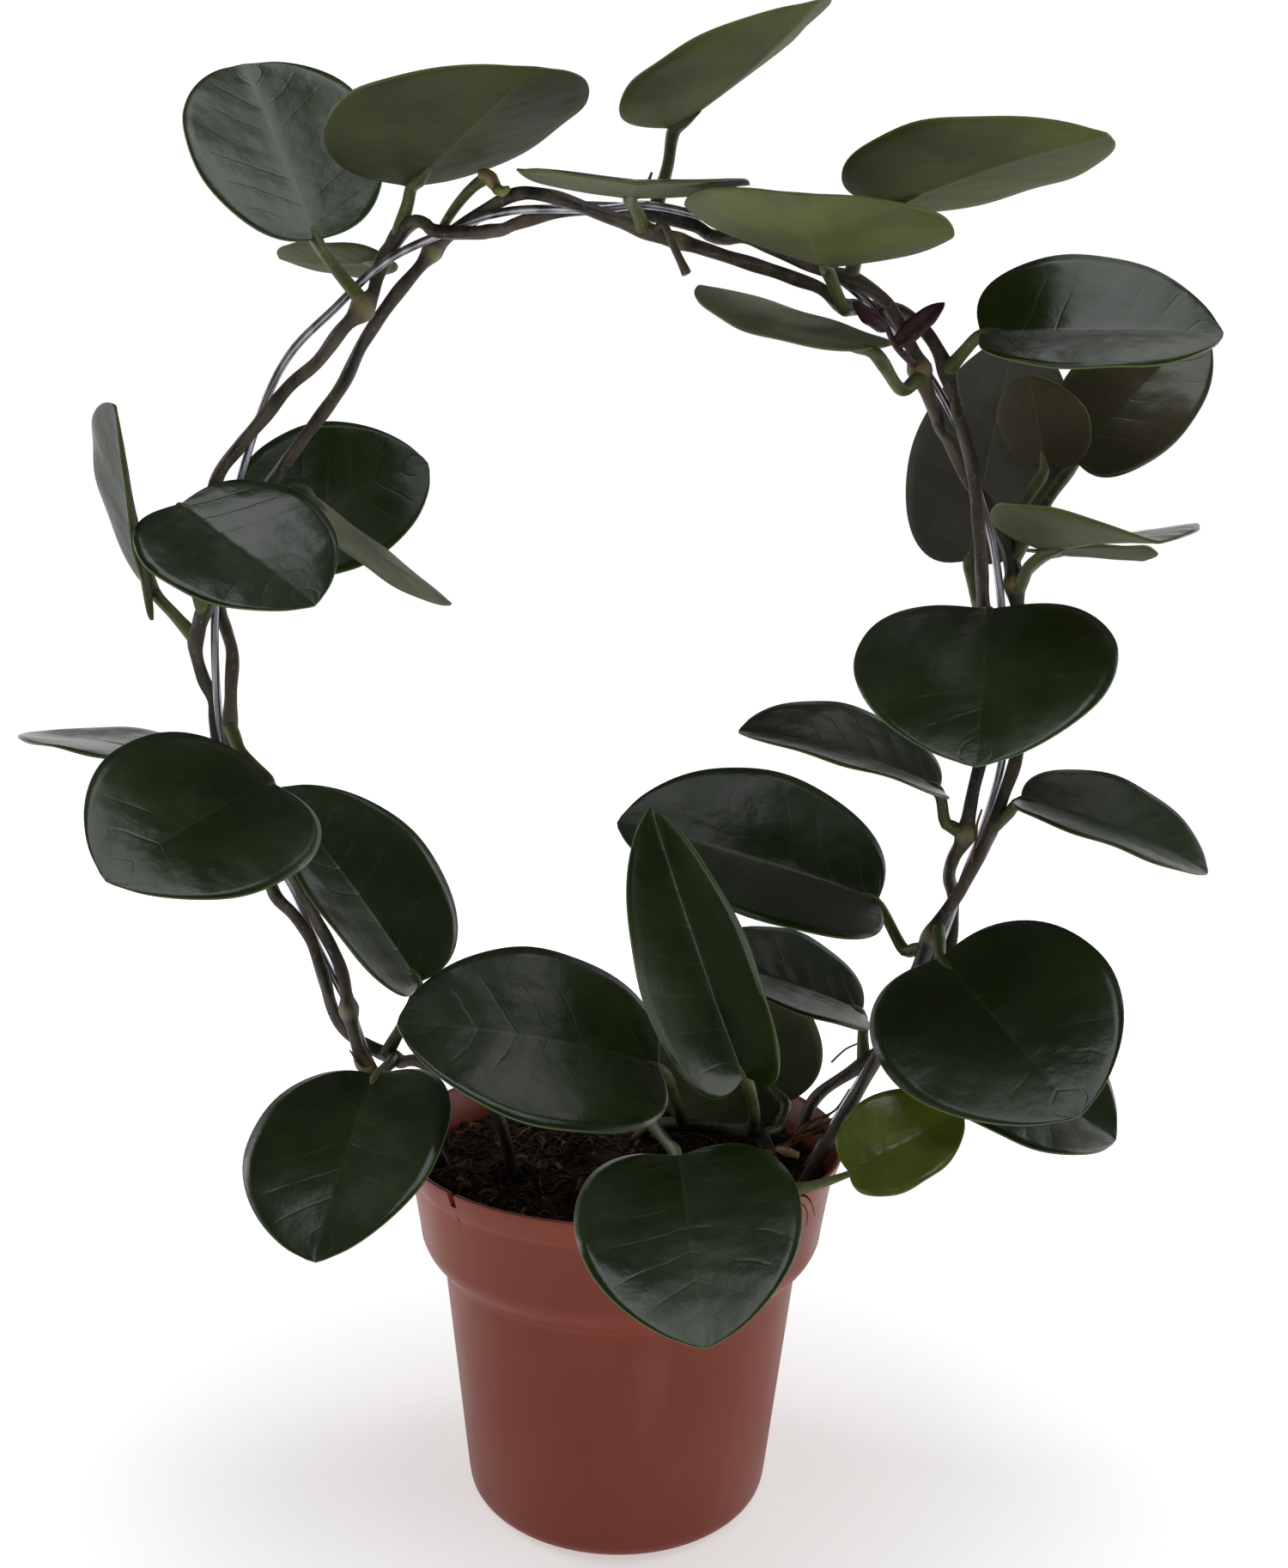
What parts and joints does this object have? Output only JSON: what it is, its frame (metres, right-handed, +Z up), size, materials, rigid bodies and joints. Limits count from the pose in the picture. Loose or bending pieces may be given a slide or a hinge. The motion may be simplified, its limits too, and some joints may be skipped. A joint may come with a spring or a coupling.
{
  "type": "potted hoya plant",
  "caption": "Climbing hoya with round leathery leaves, its vines twined round an upright wire hoop that stands in a terracotta-coloured plastic pot of coir.",
  "frame": {"origin": "centre of the pot's flat base, on the ground", "axes": "+Z up along the pot's axis; the hoop stands in the plane Y = 0; +Y points away from the side the picture shows, +X to its right"},
  "size_m": [0.3126, 0.1612, 0.3837],
  "materials": {
    "pot_plastic": "satin moulded plastic",
    "coir": "loose brown fibres",
    "hoop_wire": "drawn wire",
    "vine_bark": "thin dark bark",
    "leaf_dark": "waxy, softly glossy",
    "leaf_olive": "matt underside",
    "leaf_bronze": "waxy, softly glossy",
    "leaf_young": "waxy, softly glossy",
    "stalk_green": "matt",
    "shoot_purple": "matt"
  },
  "bodies": {
    "root": {"pot": "pot_plastic", "soil": "coir", "hoop": "hoop_wire", "vine_a": "vine_bark", "vine_b": "vine_bark", "vine_c": "vine_bark", "leaf_01": "leaf_dark", "leaf_02": "leaf_olive", "leaf_03": "leaf_olive", "leaf_04": "leaf_olive", "leaf_05": "leaf_olive", "leaf_06": "leaf_olive", "leaf_07": "leaf_olive", "leaf_08": "leaf_olive", "leaf_09": "leaf_dark", "leaf_10": "leaf_bronze", "leaf_11": "leaf_bronze", "leaf_12": "leaf_dark", "leaf_13": "leaf_olive", "leaf_14": "leaf_olive", "leaf_15": "leaf_olive", "leaf_16": "leaf_dark", "leaf_17": "leaf_olive", "leaf_18": "leaf_olive", "leaf_19": "leaf_olive", "leaf_20": "leaf_dark", "leaf_21": "leaf_dark", "leaf_22": "leaf_dark", "leaf_23": "leaf_dark", "leaf_24": "leaf_dark", "leaf_25": "leaf_dark", "leaf_26": "leaf_dark", "leaf_27": "leaf_dark", "leaf_28": "leaf_olive", "leaf_29": "leaf_dark", "leaf_30": "leaf_dark", "leaf_31": "leaf_young", "leaf_32": "leaf_dark", "leaf_33": "leaf_dark", "leaf_34": "leaf_dark", "flower_stalk_left": "stalk_green", "flower_stalk_top": "stalk_green", "young_shoot": "shoot_purple"}
  },
  "joints": []
}
